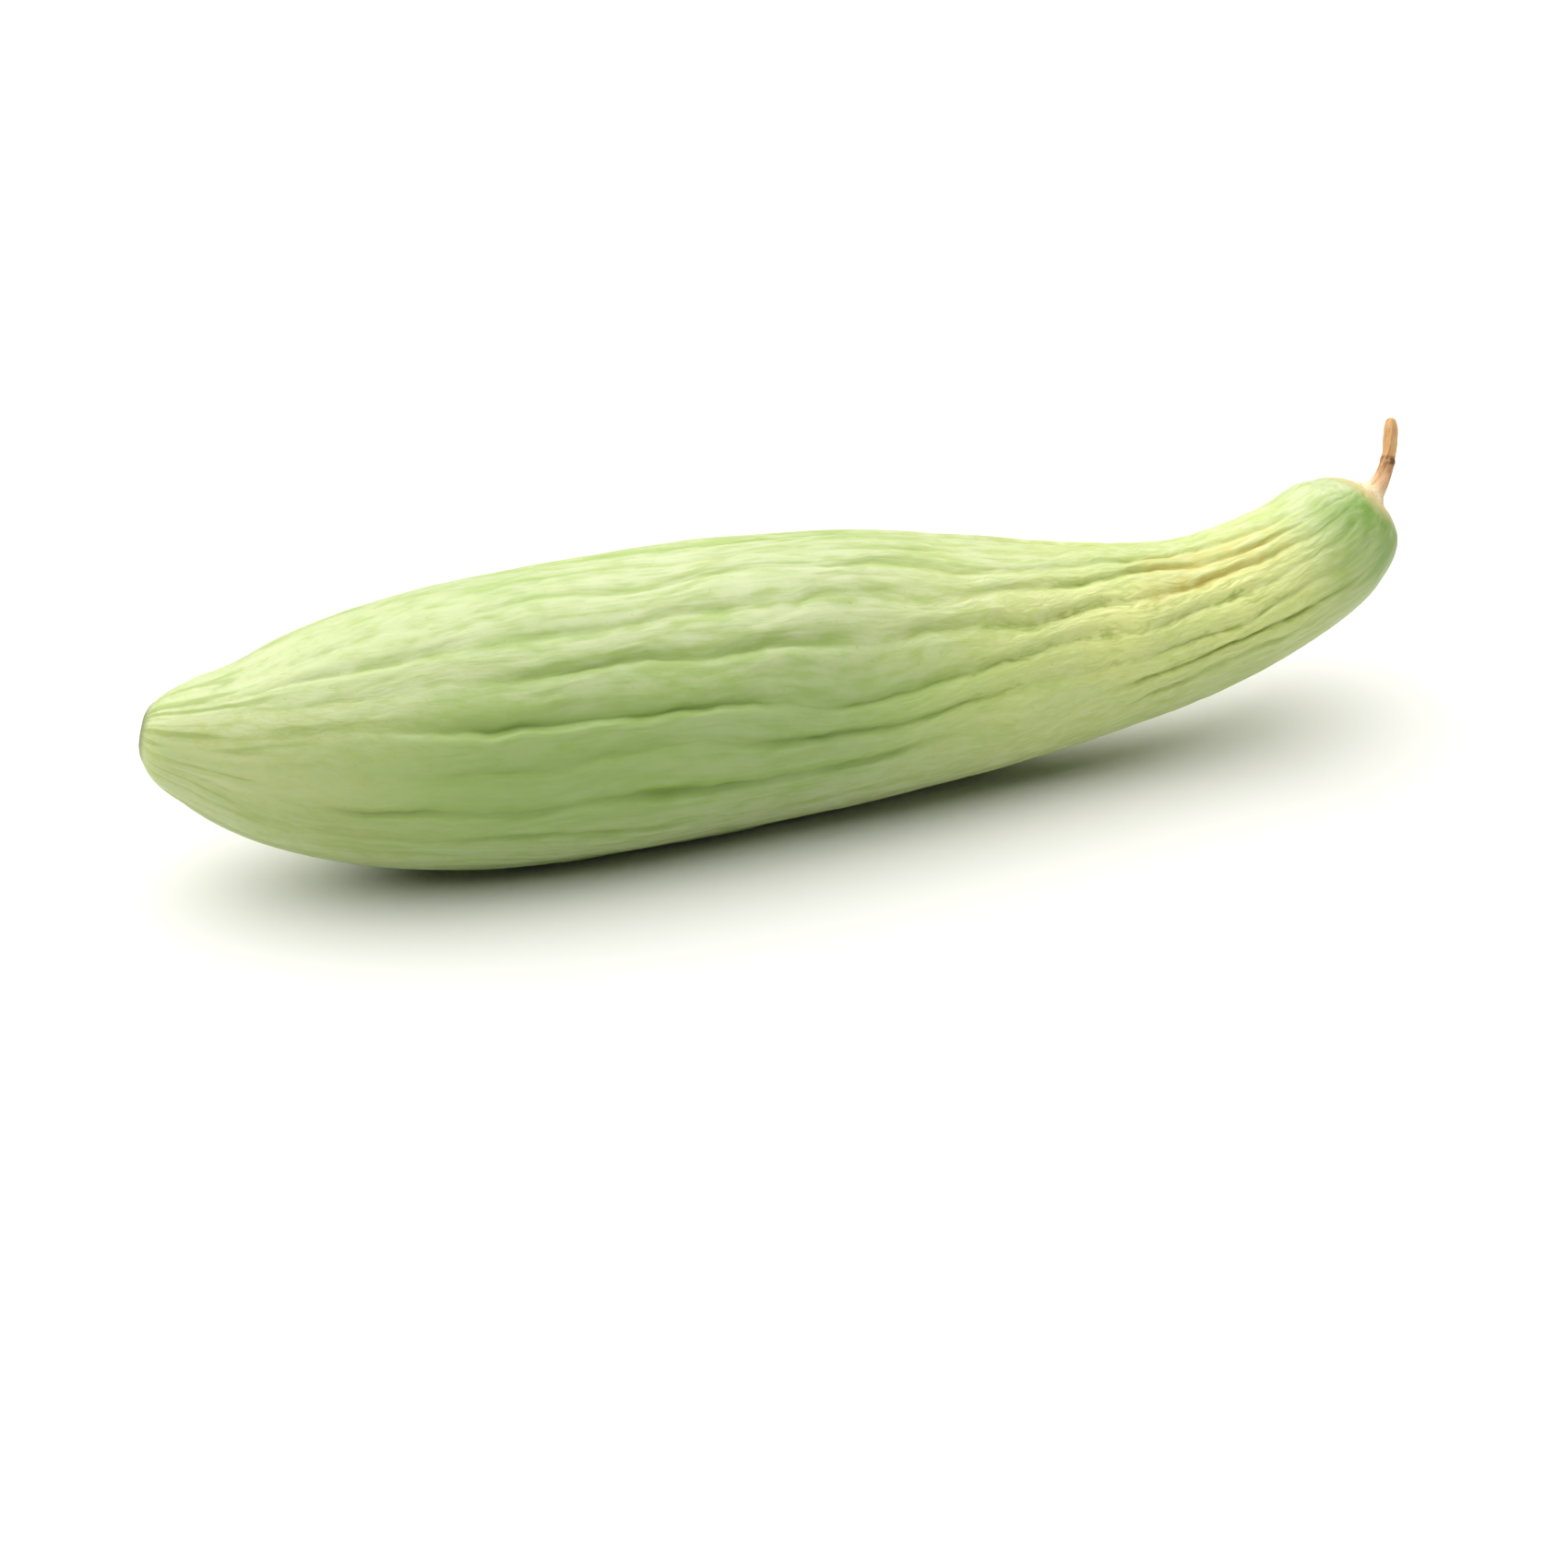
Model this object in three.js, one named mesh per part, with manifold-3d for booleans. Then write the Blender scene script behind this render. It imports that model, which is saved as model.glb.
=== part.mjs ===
import * as THREE from "three";
import { mergeVertices } from "three/addons/utils/BufferGeometryUtils.js";
import Module from "manifold-3d";

// Armenian cucumber, whole and as picked: a long furrowed fruit lying on a surface, with its dried stem.
// Millimetres, +Z up, the blossom end toward -X and the stem end toward +X, lying on z = 0.

// Driving dimensions of the fruit

const RIBS = 22; // pillowed ribs round the fruit, with a furrow between each two
const FURROW = 0.5; // usual depth of a furrow
const FURROW_CHANGE = 0.3; // how much a furrow deepens and fades along its length
const FURROW_SPAN = 0.55; // reach of a furrow's side, as a share of the rib's width
const FURROW_POWER = 2.2; // above 1 makes a narrow crease between broad pillows
const SWELL = 0.3; // slow bulges of the whole skin
const SCAR_DEPTH = 0.5; // the small dry scar at the blossom end is sunken

// The middle line of the fruit, from the blossom end to the stem end. It lies almost level
// on the belly, then the neck climbs and turns back toward +Y.
const MIDDLE_LINE = [
  [-159.7, 11.1, 40.1],
  [-149.6, 6.7, 38.2],
  [-132.8, 3.1, 35.6],
  [-103.8, 0.4, 34.3],
  [-74.6, -0.4, 34.1],
  [-45.4, -0.1, 33.9],
  [-16.3, 1.1, 33.85],
  [12.8, 1.8, 32.65],
  [42.0, 1.3, 31.4],
  [71.1, 0.3, 30.7],
  [100.2, 0.7, 32.0],
  [128.4, 3.6, 38.6],
  [143.5, 6.5, 45.9],
  [152.8, 8.9, 53.1],
];

// Distance from the blossom end along the middle line, and the radius over the ribs there:
// scar, blunt tip, thick belly, long taper, narrow neck, small shoulder, seat of the stem.
const OUTLINE = [
  [0, 4.4],
  [1.3, 7.0],
  [6.6, 12.1],
  [19.6, 18.9],
  [33.1, 24.8],
  [50.4, 29.9],
  [69.2, 33.2],
  [90.0, 34.7],
  [117.0, 35.0],
  [146.0, 34.55],
  [175.0, 32.85],
  [204.0, 29.2],
  [233.0, 24.2],
  [263.0, 20.0],
  [290.0, 17.9],
  [306.0, 16.8],
  [315.0, 13.6],
  [319.2, 9.2],
  [320.5, 5.6],
];

// How far all furrows turn round the fruit together, in rib widths, along the fruit
const TWIST = [
  [0, 0.16],
  [40, 0.08],
  [80, -0.05],
  [110, -0.15],
  [150, -0.42],
  [180, -0.44],
  [210, -0.36],
  [235, 0.1],
  [260, 0.42],
  [290, 0.55],
  [320.5, 0.46],
];

// Deep creases: number of the furrow counted round from the top, where it starts and ends
// along the fruit, and how much deeper it gets.
const CREASES = [
  [15, 60, 135, 0.5],
  [15, 236, 290, 0.5],
  [16, 222, 300, 0.6],
  [16, 30, 98, 0.9],
  [16, 92, 190, 1.1],
  [17, 60, 125, 0.4],
  [17, 124, 205, 1.0],
  [17, 190, 246, 0.5],
  [17, 236, 300, 0.42],
  [18, 38, 90, 0.5],
  [18, 60, 146, 1.15],
  [18, 128, 168, 0.35],
  [18, 150, 242, 0.9],
  [18, 228, 292, 0.45],
  [19, 70, 165, 0.7],
  [19, 126, 182, 0.3],
  [19, 168, 250, 0.95],
  [19, 240, 298, 0.5],
  [20, 18, 75, 0.45],
  [20, 72, 150, 0.5],
  [20, 138, 204, 0.4],
  [20, 185, 262, 0.6],
  [20, 246, 302, 0.5],
  [21, 90, 190, 0.35],
  [21, 160, 228, 0.35],
  [21, 215, 298, 0.45],
  [0, 100, 200, 0.35],
];
const HIDDEN_CREASES = 12; // furrows 1 to 12, on the far side and underneath, by a rule
const GOLDEN = 0.61803399;

// Driving dimensions of the stem

const STEM_SIDES = 5; // blunt angles of the dried stem
const STEM_RIDGE = 0.16; // height of each angle
// The middle line of the stem: its foot stands 0.3 clear of the fruit's seat
const STEM_LINE = [
  [153.05, 8.97, 53.3],
  [154.6, 9.37, 54.5],
  [156.9, 9.6, 57.5],
  [159.0, 10.5, 62.3],
  [159.9, 11.8, 67.3],
  [160.4, 13.1, 72.0],
];
// Distance up the stem and its radius: corky foot, slim shaft, a node, and a blunt tip
const STEM_OUTLINE = [
  [0, 5.2],
  [0.6, 5.3],
  [1.4, 4.3],
  [2.8, 3.1],
  [4.8, 2.35],
  [7.5, 1.95],
  [9.6, 1.75],
  [10.8, 1.9],
  [12.2, 1.6],
  [16.0, 1.75],
  [19.0, 1.6],
  [20.8, 1.15],
  [21.4, 0.5],
];

// Mesh fineness

const PER_RIB = 4; // columns of faces on each rib
const ROWS = 50;
const STEM_COLUMNS = 20;
const STEM_ROWS = 22;

const turn = (x) => 2 * Math.PI * x;
const wave = (x) => Math.sin(turn(x));
const clamp = (x) => Math.min(1, Math.max(0, x));
const smooth = (x) => {
  const c = clamp(x);
  return c * c * (3 - 2 * c);
};
const vectors = (rows) => rows.map((row) => new THREE.Vector3(...row));

// A smooth function through rows of [distance, value]
function profile(rows) {
  const points = new THREE.SplineCurve(rows.map((row) => new THREE.Vector2(...row))).getPoints(1200);
  return (x) => {
    let low = 0;
    let high = points.length - 1;
    while (high - low > 1) {
      const middle = (low + high) >> 1;
      if (points[middle].x <= x) low = middle;
      else high = middle;
    }
    const span = points[high].x - points[low].x || 1;
    const share = clamp((x - points[low].x) / span);
    return points[low].y + share * (points[high].y - points[low].y);
  };
}

const radiusAt = profile(OUTLINE);
const twistAt = profile(TWIST);
const stemRadiusAt = profile(STEM_OUTLINE);
const LENGTH = OUTLINE[OUTLINE.length - 1][0];
const STEM_LENGTH = STEM_OUTLINE[STEM_OUTLINE.length - 1][0];

// Is 1 between start and end, with soft sides
function soften(x, start, rise, end, fall) {
  return smooth((x - start) / rise) * (1 - smooth((x - end + fall) / fall));
}

// A crease that starts and ends softly
function stroke(s, from, to) {
  return soften(s, from - 4, 26, to + 2, 22);
}

// The furrows wander sideways a little, each in its own way. On the near side of the belly they
// lean apart, and on the taper two of them rise. "a" counts ribs round the fruit and "s" is the
// distance along it.
function wander(a, s) {
  const lean = 0.2 * soften(a, 18, 1.2, 22, 1.5) - 0.22 * soften(a, 13, 2, 19, 1.2);
  return (
    0.15 * wave((5 * a) / RIBS - 0.1136 + s / 260) +
    0.09 * wave((-3 * a) / RIBS + 0.41 + s / 91) +
    0.05 * wave((8 * a) / RIBS + 0.77 - s / 43) +
    lean * soften(s, 50, 35, 205, 45) +
    0.26 * soften(a, 16, 1.5, 19, 0.9) * soften(s, 165, 45, 270, 45) +
    0.16 * soften(a, 18.2, 0.6, 19.9, 0.7) * soften(s, 150, 25, 215, 30)
  );
}

function furrowDepth(k, s) {
  const number = ((k % RIBS) + RIBS) % RIBS;
  const slow = wave(s / 83 + GOLDEN * number) + 0.7 * wave(s / 47 + 0.37 + GOLDEN * 3 * number);
  let depth = FURROW + FURROW_CHANGE * slow * 0.6;
  for (const [line, from, to, extra] of CREASES) {
    if (line === number) depth += extra * stroke(s, from, to);
  }
  if (number >= 1 && number <= HIDDEN_CREASES) {
    const start = 35 + 75 * ((GOLDEN * number) % 1);
    depth += 0.9 * stroke(s, start, start + 105);
    depth += 0.7 * stroke(s, start + 115, start + 190);
  }
  return Math.max(0.1, depth) * (0.3 + 0.7 * smooth((s - 6) / 50)) * (1 - 0.72 * smooth((s - 296) / 22));
}

// Depth of the skin below the full radius, at rib coordinate a and distance s
function relief(a, s) {
  const k = Math.floor(a);
  const q = a - k;
  const side = (x) => Math.pow(Math.max(0, 1 - x / FURROW_SPAN), FURROW_POWER);
  const ends = smooth(s / 14) * (1 - smooth((s - 306) / 14));
  const swell = wave((4 * a) / RIBS + s / 118 + 0.3) + 0.8 * wave((-3 * a) / RIBS + s / 64 + 0.1);
  return furrowDepth(k, s) * side(q) + furrowDepth(k + 1, s) * side(1 - q) + SWELL * 0.5 * swell * ends;
}

// Rings of points round a curve: a sphere's own grid of vertices is moved onto them, so the body
// is closed at both ends. The first direction round each ring is the one nearest straight up.
function bodyAlong(curve, columns, rows, place) {
  const geometry = new THREE.SphereGeometry(1, columns, rows);
  const position = geometry.attributes.position;
  const up = new THREE.Vector3(0, 0, 1);
  for (let row = 0; row <= rows; row += 1) {
    const { share, radius, along } = place.ring(row / rows);
    const centre = curve.getPointAt(share);
    const ahead = curve.getTangentAt(share).normalize();
    const sideways = new THREE.Vector3().crossVectors(up, ahead).normalize();
    const over = new THREE.Vector3().crossVectors(ahead, sideways);
    centre.addScaledVector(ahead, along);
    for (let column = 0; column <= columns; column += 1) {
      const spot = place.around((column % columns) / columns, share, radius);
      const point = centre
        .clone()
        .addScaledVector(over, spot.radius * Math.cos(spot.angle))
        .addScaledVector(sideways, spot.radius * Math.sin(spot.angle));
      position.setXYZ(row * (columns + 1) + column, point.x, point.y, point.z);
    }
  }
  geometry.deleteAttribute("normal");
  geometry.deleteAttribute("uv");
  return mergeVertices(geometry, 1e-4);
}

// Rings lie closer together near both ends, where the body rounds off
function share(v) {
  return THREE.MathUtils.lerp(v, 0.5 - 0.5 * Math.cos(Math.PI * v), 0.62);
}

function fruitGeometry() {
  const curve = new THREE.CatmullRomCurve3(vectors(MIDDLE_LINE), false, "catmullrom", 0.5);
  const inner = 2 / ROWS; // two rings fill in the scar at one end and one the seat at the other
  return bodyAlong(curve, RIBS * PER_RIB, ROWS, {
    ring(v) {
      const row = Math.round(v * ROWS);
      if (row === 0) return { share: 0, radius: 0, along: SCAR_DEPTH };
      if (row === 1) return { share: 0, radius: 3.4, along: SCAR_DEPTH };
      if (row === ROWS) return { share: 1, radius: 0, along: 0 };
      const s = share((v - inner) / (1 - inner - 1 / ROWS));
      return { share: s, radius: radiusAt(s * LENGTH), along: 0 };
    },
    around(u, along, radius) {
      const a = u * RIBS;
      const s = along * LENGTH;
      const angle = turn((a + twistAt(s) + wander(a, s)) / RIBS);
      const full = radius > 4 ? radius - relief(a, s) : radius;
      return { angle, radius: full };
    },
  });
}

function stemGeometry() {
  const curve = new THREE.CatmullRomCurve3(vectors(STEM_LINE), false, "catmullrom", 0.5);
  return bodyAlong(curve, STEM_COLUMNS, STEM_ROWS, {
    ring(v) {
      const row = Math.round(v * STEM_ROWS);
      if (row === 0) return { share: 0, radius: 0, along: 0 };
      if (row === STEM_ROWS) return { share: 1, radius: 0, along: 0 };
      const s = share((row - 1) / (STEM_ROWS - 2));
      return { share: s, radius: stemRadiusAt(s * STEM_LENGTH), along: 0 };
    },
    around(u, along, radius) {
      const shaft = smooth((along - 0.1) / 0.2);
      const ridge = STEM_RIDGE * (0.3 + 0.7 * shaft) * Math.cos(turn(STEM_SIDES * u));
      return { angle: turn(u), radius: radius > 0 ? radius + ridge : 0 };
    },
  });
}

// The belly is pressed flat where it lies on the surface, on the ribs that reach it

const wasm = await Module();
wasm.setup();

function toSolid(geometry) {
  const mesh = new wasm.Mesh({
    numProp: 3,
    vertProperties: new Float32Array(geometry.attributes.position.array),
    triVerts: new Uint32Array(geometry.index.array),
  });
  return new wasm.Manifold(mesh);
}

function toGeometry(solid) {
  const mesh = solid.getMesh();
  const geometry = new THREE.BufferGeometry();
  geometry.setAttribute("position", new THREE.BufferAttribute(new Float32Array(mesh.vertProperties), 3));
  geometry.setIndex(new THREE.BufferAttribute(new Uint32Array(mesh.triVerts), 1));
  geometry.computeVertexNormals();
  return geometry;
}

const below = new THREE.BoxGeometry(500, 200, 20);
below.translate(0, 0, -10);
below.deleteAttribute("normal");
below.deleteAttribute("uv");
const restedFruit = toSolid(fruitGeometry()).subtract(toSolid(mergeVertices(below, 1e-4)));

// Materials

const skin = new THREE.MeshStandardMaterial({
  name: "pale green skin",
  color: "#b9cf8c",
  roughness: 0.5,
  metalness: 0,
});
const driedStem = new THREE.MeshStandardMaterial({
  name: "dried stem",
  color: "#d3a878",
  roughness: 0.85,
  metalness: 0,
});

const fruit = new THREE.Mesh(toGeometry(restedFruit), skin);
fruit.name = "fruit";
const stem = new THREE.Mesh(stemGeometry(), driedStem);
stem.name = "stem";

const cucumber = new THREE.Group();
cucumber.name = "armenian_cucumber";
cucumber.add(fruit, stem);

export default cucumber;
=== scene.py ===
"""A whole Armenian cucumber with its dried stem, lying on a pale surface.

The furrowed fruit and the stem are each made by a Geometry Nodes tree, which wraps a grid round
a curved middle line. Lengths in the formulas are millimetres, and objects are in metres.
"""

import logging
import math
from dataclasses import dataclass
from enum import Enum

import bpy
import numpy as np
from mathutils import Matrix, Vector


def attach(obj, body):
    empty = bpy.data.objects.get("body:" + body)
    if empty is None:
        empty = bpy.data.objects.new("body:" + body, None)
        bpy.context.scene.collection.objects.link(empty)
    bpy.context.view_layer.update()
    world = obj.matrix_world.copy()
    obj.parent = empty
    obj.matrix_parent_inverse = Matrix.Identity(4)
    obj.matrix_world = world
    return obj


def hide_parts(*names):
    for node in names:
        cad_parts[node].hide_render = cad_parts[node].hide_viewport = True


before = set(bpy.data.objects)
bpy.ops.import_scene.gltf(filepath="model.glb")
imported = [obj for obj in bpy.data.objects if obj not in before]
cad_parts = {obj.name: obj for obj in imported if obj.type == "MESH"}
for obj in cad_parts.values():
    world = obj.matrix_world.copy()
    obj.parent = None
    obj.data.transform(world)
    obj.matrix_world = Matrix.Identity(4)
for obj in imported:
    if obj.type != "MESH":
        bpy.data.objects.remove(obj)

LOG = logging.getLogger("cucumber")
MM = 0.001
GOLDEN = 0.61803399
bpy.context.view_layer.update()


# Small tools for colours, nodes and formulas


def linear(hex_text: str) -> tuple[float, float, float, float]:
    """Turns an sRGB hex colour into the linear values that shaders take.

    Args:
        hex_text: A colour such as "#c8d89a".

    Returns:
        Red, green, blue and alpha, each from 0 to 1.
    """
    parts = [int(hex_text[i : i + 2], 16) / 255 for i in (1, 3, 5)]
    red, green, blue = (p / 12.92 if p <= 0.04045 else ((p + 0.055) / 1.055) ** 2.4 for p in parts)
    return (red, green, blue, 1.0)


def add_node(tree: bpy.types.NodeTree, kind: str, inputs: dict | None = None, **settings) -> bpy.types.Node:
    """Adds a node, sets its options, and sets or links its inputs.

    Args:
        tree: The node tree to add to.
        kind: The node's class name.
        inputs: Values, sockets or Fields for its inputs, by socket name or index.
        **settings: Options of the node, such as operation.

    Returns:
        The new node.
    """
    made = tree.nodes.new(kind)
    for name, value in settings.items():
        setattr(made, name, value)
    for key, value in (inputs or {}).items():
        if isinstance(key, int):
            socket = made.inputs[key]
        else:
            socket = next(s for s in made.inputs if s.name == key and s.enabled)
        if isinstance(value, Field):
            value = value.socket
        if isinstance(value, bpy.types.NodeSocket):
            tree.links.new(value, socket)
        else:
            socket.default_value = value
    return made


@dataclass(frozen=True)
class Field:
    """A value inside a node tree, so that a formula can be written as it reads.

    Attributes:
        tree: The node tree that it belongs to.
        socket: The output that gives the value.
    """

    tree: bpy.types.NodeTree
    socket: bpy.types.NodeSocket

    def math(self, operation: str, *others: "Field | float") -> "Field":
        """Feeds this value and others into one Math node.

        Args:
            operation: The Math node's operation.
            *others: The node's further inputs.

        Returns:
            The node's result.
        """
        inputs = dict(enumerate((self, *others)))
        made = add_node(self.tree, "ShaderNodeMath", inputs, operation=operation)
        return Field(self.tree, made.outputs[0])

    def __add__(self, other: "Field | float") -> "Field":
        """Adds a value."""
        return self.math("ADD", other)

    def __sub__(self, other: "Field | float") -> "Field":
        """Takes a value away."""
        return self.math("SUBTRACT", other)

    def __mul__(self, other: "Field | float") -> "Field":
        """Multiplies by a value."""
        return self.math("MULTIPLY", other)

    def __truediv__(self, other: "Field | float") -> "Field":
        """Divides by a value."""
        return self.math("DIVIDE", other)

    def wave(self) -> "Field":
        """Returns the sine of this value, with a period of 1."""
        return (self * (2 * math.pi)).math("SINE")

    def cos_turn(self) -> "Field":
        """Returns the cosine of this value, with a period of 1."""
        return (self * (2 * math.pi)).math("COSINE")

    def ease(self, low: float, high: float, first: float = 0.0, last: float = 1.0) -> "Field":
        """Maps low to high softly onto first to last.

        Args:
            low: Value that gives first.
            high: Value that gives last.
            first: Result at low and outside it.
            last: Result at high and beyond it.

        Returns:
            The mapped value.
        """
        inputs = {"Value": self, "From Min": low, "From Max": high, "To Min": first, "To Max": last}
        made = add_node(self.tree, "ShaderNodeMapRange", inputs, interpolation_type="SMOOTHSTEP")
        return Field(self.tree, made.outputs["Result"])

    def window(self, start: float, rise: float, end: float, fall: float) -> "Field":
        """Is 1 between start and end, with soft sides.

        Args:
            start: Where the rise begins.
            rise: Length of the rise.
            end: Where the fall ends.
            fall: Length of the fall.

        Returns:
            The window's height, from 0 to 1.
        """
        return self.ease(start, start + rise) * self.ease(end - fall, end, 1.0, 0.0)

    def slope(self, span: float, power: float) -> "Field":
        """Falls from 1 at 0 to 0 at a span, and stays 0 from there.

        Args:
            span: Value at which it reaches 0.
            power: How hollow the slope is; 1 is straight.

        Returns:
            The slope's height, from 0 to 1.
        """
        return (self * (-1 / span) + 1.0).math("MAXIMUM", 0.0).math("POWER", power)

    def noise(self, along: float, across: float, layers: float, seed: float) -> "Field":
        """Smooth noise about 0, from -1 to 1, at a place on a body laid out straight.

        Args:
            along: Length of a feature along the body, in millimetres.
            across: Its length across the body, in millimetres.
            layers: Number of finer layers.
            seed: Shifts the noise, so that no two look alike.

        Returns:
            The noise value.
        """
        place = {0: self, 1: (1 / along, 1 / across, 1 / across), 2: (seed, 0.7 * seed, 0.3 * seed)}
        moved = add_node(self.tree, "ShaderNodeVectorMath", place, operation="MULTIPLY_ADD")
        inputs = {"Vector": moved.outputs[0], "Scale": 1.0, "Detail": layers, "Roughness": 0.5}
        made = add_node(self.tree, "ShaderNodeTexNoise", inputs)
        return (Field(self.tree, made.outputs[0]) - 0.5) * 2.0


class Paint:
    """Colours laid over one another in a material, each by its own amount."""

    def __init__(self, tree: bpy.types.NodeTree, ground: str) -> None:
        """Starts with one colour all over.

        Args:
            tree: The material's node tree.
            ground: The first colour, as sRGB hex.
        """
        self.tree = tree
        self.color: Field | tuple[float, ...] = linear(ground)

    def lay(self, amount: Field, coat: "str | Paint") -> None:
        """Lays a colour over what is there.

        Args:
            amount: Share of the new colour, from 0 to 1.
            coat: The new colour, as sRGB hex or as a paint of its own.
        """
        over = coat.color if isinstance(coat, Paint) else linear(coat)
        inputs = {0: amount, 6: self.color, 7: over}
        made = add_node(self.tree, "ShaderNodeMix", inputs, data_type="RGBA", clamp_factor=True)
        self.color = Field(self.tree, made.outputs[2])


def blank_material(name: str) -> bpy.types.Material:
    """Makes a material with an empty tree.

    Args:
        name: The material's name.

    Returns:
        The material.
    """
    made = bpy.data.materials.new(name)
    made.use_nodes = True
    made.node_tree.nodes.clear()
    return made


def kept(tree: bpy.types.NodeTree, name: str, output: str = "Fac") -> Field:
    """Reads a value that a body's tree kept on its surface.

    Args:
        tree: The material's node tree.
        name: The value's name.
        output: "Fac" for a number, or "Vector" for a place.

    Returns:
        The value.
    """
    return Field(tree, add_node(tree, "ShaderNodeAttribute", attribute_name=name).outputs[output])


# The curved middle line and the outline


def spline(rows: list[tuple[float, ...]], mirrored_ends: bool, count: int = 4001) -> np.ndarray:
    """Samples a Catmull-Rom curve through rows of numbers.

    Args:
        rows: The points that it passes through.
        mirrored_ends: Whether the ends continue straight on, or start at rest.
        count: Number of samples.

    Returns:
        An array with one sample in each row.
    """
    points = np.array(rows, float)
    first = 2 * points[0] - points[1] if mirrored_ends else points[0]
    last = 2 * points[-1] - points[-2] if mirrored_ends else points[-1]
    points = np.vstack([first, points, last])
    place = np.linspace(0, len(rows) - 1, count)
    index = np.minimum(place.astype(int), len(rows) - 2)
    w = (place - index)[:, None]
    a, b, c, d = (points[index + i] for i in range(4))
    v, u = (c - a) / 2, (d - b) / 2
    return (2 * b - 2 * c + v + u) * w**3 + (3 * c - 3 * b - 2 * v - u) * w**2 + v * w + b


def smooth(x: np.ndarray) -> np.ndarray:
    """Eases from 0 to 1.

    Args:
        x: Values, of which 0 to 1 is the eased stretch.

    Returns:
        The eased values.
    """
    c = np.clip(x, 0, 1)
    return c * c * (3 - 2 * c)


def stroke(s: np.ndarray, start: float, end: float) -> np.ndarray:
    """How strong a crease is at each ring, from its soft start to its soft end.

    Args:
        s: Distance of each ring along the fruit, in millimetres.
        start: Where the crease starts, in millimetres.
        end: Where it ends, in millimetres.

    Returns:
        Strengths from 0 to 1.
    """
    return smooth((s - start + 4) / 26) * (1 - smooth((s - end + 20) / 22))


def crowded_ends(count: int) -> np.ndarray:
    """Shares of a length from 0 to 1, crowded at both ends, where a body rounds off.

    Args:
        count: Number of shares.

    Returns:
        The shares, in rising order.
    """
    v = np.linspace(0, 1, count)
    return 0.5 * v + 0.5 * (0.5 - 0.5 * np.cos(np.pi * v))


@dataclass(frozen=True)
class MiddleLine:
    """The curve that runs along the inside of a long body.

    Attributes:
        points: Points that it passes through, in millimetres.
    """

    points: tuple[tuple[float, float, float], ...]

    def frames(self, share: np.ndarray) -> tuple[np.ndarray, np.ndarray, np.ndarray, np.ndarray]:
        """Places and directions at shares of the curve's length.

        Args:
            share: Shares from 0 to 1.

        Returns:
            The points, the directions ahead, the directions nearest straight up, and sideways.
        """
        dense = spline(list(self.points), True)
        steps = np.linalg.norm(np.diff(dense, axis=0), axis=1)
        arc = np.concatenate([[0], np.cumsum(steps)]) / steps.sum()
        rate = np.gradient(dense, axis=0)
        place = np.stack([np.interp(share, arc, dense[:, i]) for i in range(3)], axis=1)
        ahead = np.stack([np.interp(share, arc, rate[:, i]) for i in range(3)], axis=1)
        ahead /= np.linalg.norm(ahead, axis=1)[:, None]
        sideways = np.cross([0.0, 0.0, 1.0], ahead)
        sideways /= np.linalg.norm(sideways, axis=1)[:, None]
        return place, ahead, np.cross(ahead, sideways), sideways


@dataclass
class Rings:
    """Rings of a body, from one end to the other, kept as attributes on a mesh of points.

    Attributes:
        line: The middle line.
        share: Share of the line's length at each ring.
        radius: Radius of each ring, in millimetres.
        shift: How far each ring is moved ahead along the line, in millimetres.
        length: The body's nominal length, in millimetres.
    """

    line: MiddleLine
    share: np.ndarray
    radius: np.ndarray
    shift: np.ndarray
    length: float

    def mesh(self, name: str, copies: int = 1, extra: dict[str, np.ndarray] | None = None) -> bpy.types.Mesh:
        """Makes the mesh of points that a tree samples.

        Args:
            name: The mesh's name.
            copies: How many times the line of rings is repeated, one for each furrow.
            extra: Further values for each point, by attribute name.

        Returns:
            A mesh with one vertex for each ring of each copy.
        """
        place, ahead, over, sideways = self.line.frames(self.share)
        place = place + ahead * self.shift[:, None]
        mesh = bpy.data.meshes.new(name)
        mesh.vertices.add(len(place) * copies)
        mesh.vertices.foreach_set("co", np.tile(place * MM, (copies, 1)).ravel())
        for key, values in (("over", over), ("sideways", sideways)):
            held = mesh.attributes.new(key, "FLOAT_VECTOR", "POINT")
            held.data.foreach_set("vector", np.tile(values, (copies, 1)).ravel())
        numbers = {"along": self.share * self.length, "radius": self.radius}
        numbers = {key: np.tile(values, copies) for key, values in numbers.items()}
        for key, values in {**numbers, **(extra or {})}.items():
            held = mesh.attributes.new(key, "FLOAT", "POINT")
            held.data.foreach_set("value", values.astype(np.float32))
        return mesh


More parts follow.
